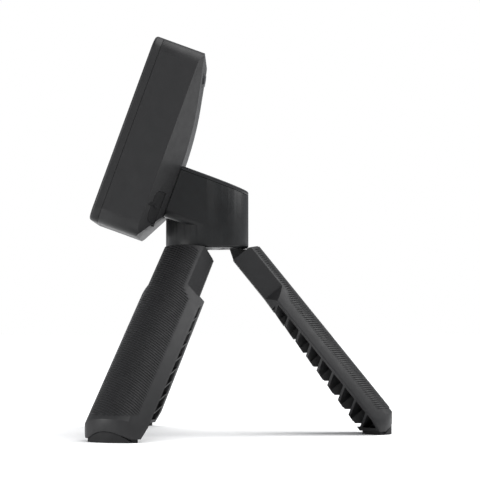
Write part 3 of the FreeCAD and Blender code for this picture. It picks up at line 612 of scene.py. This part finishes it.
def bar(bm, width, length, height, place):
    """A low bar with softened long edges, standing on XY."""
    made = bmesh.ops.create_cube(bm, size=1.0)
    bmesh.ops.scale(bm, verts=made["verts"], vec=(width, length, 2 * height))
    top = [e for e in bm.edges if all(v in made["verts"] and v.co.z > 0 for v in e.verts)]
    bmesh.ops.bevel(
        bm, geom=top, offset=height * 0.5, segments=2, profile=0.5, affect="EDGES", material=-1
    )
    fresh = [v for v in bm.verts if not v.tag]
    bmesh.ops.translate(bm, verts=fresh, vec=place)
    for vertex in bm.verts:
        vertex.tag = True


def power_symbol(bm, settings):
    """A ring with a gap at its top and a short bar in the gap, standing on XY."""
    ring, wire, height = settings.symbol_radius, settings.symbol_line / 2, settings.symbol_height
    bar(bm, 2 * wire, ring * 1.1, height, (0, ring * 0.85, 0))
    crest = wire * 0.7
    profile = [(ring - wire, -height), (ring + wire, -height), (ring + crest, height), (ring - crest, height)]
    corners = [bm.verts.new((x, 0, z)) for x, z in profile]
    loop = [bm.edges.new((corners[i], corners[(i + 1) % 4])) for i in range(4)]
    half_gap = math.radians(36)
    bmesh.ops.rotate(
        bm, verts=corners, cent=(0, 0, 0), matrix=Matrix.Rotation(math.pi / 2 + half_gap, 3, "Z")
    )
    swept = bmesh.ops.spin(
        bm, geom=corners + loop, cent=(0, 0, 0), axis=(0, 0, 1), angle=2 * (math.pi - half_gap),
        steps=24, use_duplicate=False,
    )
    bmesh.ops.contextual_create(bm, geom=corners)
    last = [item for item in swept["geom_last"] if isinstance(item, bmesh.types.BMVert)]
    bmesh.ops.contextual_create(bm, geom=last)


class MONITOR_OT_marks(bpy.types.Operator):
    """Raise the power symbol on the button and the finger ridges on the port cover"""

    bl_idname = "monitor.marks"
    bl_label = "Marks"

    def execute(self, context):
        settings = context.scene.monitor_case
        lean_axis = Vector(JOINTS["usb_cover_hinge"]["axis"])
        middle, direction = outer_face("power_button", -Vector(JOINTS["power_button_press"]["axis"]))
        bm = bmesh.new()
        power_symbol(bm, settings)
        bmesh.ops.transform(bm, matrix=set_down(middle, direction, lean_axis), verts=bm.verts)
        keycap = bpy.data.materials["Silicone keycap, silky"]
        new_piece("power_mark", bm, keycap, "power_button")

        outwards = Vector((0.6, 0.75, -0.25))
        middle, direction = outer_face("usb_cover", outwards)
        bm = bmesh.new()
        for step in (-1, 0, 1):
            place = (settings.ridge_offset, step * settings.ridge_pitch, 0)
            bar(bm, settings.ridge_length, settings.ridge_width, settings.symbol_height * 1.5, place)
        bmesh.ops.transform(bm, matrix=set_down(middle, direction, lean_axis), verts=bm.verts)
        new_piece("port_cover_ridges", bm, flap_rubber(), "usb_cover")
        return {"FINISHED"}


class MONITOR_OT_stage(bpy.types.Operator):
    """Lay the floor, hang the lights and place the camera"""

    bl_idname = "monitor.stage"
    bl_label = "Stage"

    def execute(self, context):
        settings = context.scene.monitor_stage
        floor_material, tree = start("Matt paper floor")
        place = add(tree, "ShaderNodeTexCoord").outputs["Object"]
        pale = settings.floor_colour
        shader = add(
            tree, "ShaderNodeBsdfPrincipled", {"Roughness": 0.9, "Specular IOR Level": 0.1},
            {"Base Color": mottled(tree, place, pale, shade(pale, 0.995), 0.2)},
        )
        close(tree, shader)
        bm = bmesh.new()
        bmesh.ops.create_grid(bm, x_segments=1, y_segments=1, size=6.0)
        mesh = bpy.data.meshes.new("floor")
        bm.to_mesh(mesh)
        bm.free()
        floor = bpy.data.objects.new("floor", mesh)
        floor.data.materials.append(floor_material)
        context.scene.collection.objects.link(floor)

        sun_data = bpy.data.lights.new("soft sun", "SUN")
        sun_data.energy = 2.9
        sun_data.angle = math.radians(70)
        sun = bpy.data.objects.new("soft sun", sun_data)
        shine = Vector((-0.1, -0.45, -1.0))
        sun.rotation_euler = shine.to_track_quat("-Z", "Y").to_euler()
        context.scene.collection.objects.link(sun)

        lamps = (
            ("back right panel", (-0.2, 1.1, 0.7), 0.6, 4.5),
            ("left panel", (0.55, -1.1, 0.3), 0.5, 8.0),
            ("front fill", (1.5, 0.3, 0.8), 0.7, 3.0),
        )
        for name, spot, size, power in lamps:
            data = bpy.data.lights.new(name, "AREA")
            data.size = size
            data.energy = power
            lamp = bpy.data.objects.new(name, data)
            lamp.location = spot
            aim = Vector((0, 0, 0.09)) - Vector(spot)
            lamp.rotation_euler = aim.to_track_quat("-Z", "Y").to_euler()
            context.scene.collection.objects.link(lamp)

        world = bpy.data.worlds.new("pale studio")
        world.use_nodes = True
        tree = world.node_tree
        tree.nodes.clear()
        path = add(tree, "ShaderNodeLightPath")
        dim = add(tree, "ShaderNodeBackground", {"Color": linear("f4f6fa"), "Strength": 0.4})
        seen = add(tree, "ShaderNodeBackground", {"Color": linear("ffffff"), "Strength": 1.0})
        both = add(
            tree, "ShaderNodeMixShader",
            links={0: path.outputs["Is Camera Ray"], 1: dim.outputs[0], 2: seen.outputs[0]},
        )
        add(tree, "ShaderNodeOutputWorld", links={"Surface": both.outputs["Shader"]})
        context.scene.world = world
        context.scene.view_settings.view_transform = "Standard"

        data = bpy.data.cameras.new("camera")
        data.lens = settings.lens
        data.sensor_width = 36.0
        camera = bpy.data.objects.new("camera", data)
        camera.location = (settings.camera_distance, settings.camera_across, settings.camera_height)
        aim = Vector((0, settings.camera_across, settings.aim_height)) - camera.location
        camera.rotation_euler = aim.to_track_quat("-Z", "Y").to_euler()
        context.scene.collection.objects.link(camera)
        context.scene.camera = camera
        return {"FINISHED"}


OPERATORS = (
    MONITOR_OT_case,
    MONITOR_OT_electronics,
    MONITOR_OT_stand,
    MONITOR_OT_grip_ribs,
    MONITOR_OT_marks,
    MONITOR_OT_stage,
)


class MONITOR_PT_looks(bpy.types.Panel):
    """Sidebar panel that lists the launch monitor's operators."""

    bl_label = "Launch Monitor"
    bl_idname = "MONITOR_PT_looks"
    bl_space_type = "VIEW_3D"
    bl_region_type = "UI"
    bl_category = "Launch Monitor"

    def draw(self, context):
        for operator in OPERATORS:
            self.layout.operator(operator.bl_idname)


GROUPS = {"monitor_case": CaseSettings, "monitor_stand": StandSettings, "monitor_stage": StageSettings}
CLASSES = (*GROUPS.values(), *OPERATORS, MONITOR_PT_looks)


def register():
    for item in CLASSES:
        bpy.utils.register_class(item)
    for name, group in GROUPS.items():
        setattr(bpy.types.Scene, name, bpy.props.PointerProperty(type=group))


def unregister():
    for name in GROUPS:
        delattr(bpy.types.Scene, name)
    for item in reversed(CLASSES):
        bpy.utils.unregister_class(item)


def main():
    register()
    for operator in OPERATORS:
        group, name = operator.bl_idname.split(".")
        getattr(getattr(bpy.ops, group), name)()


if __name__ == "__main__":
    main()
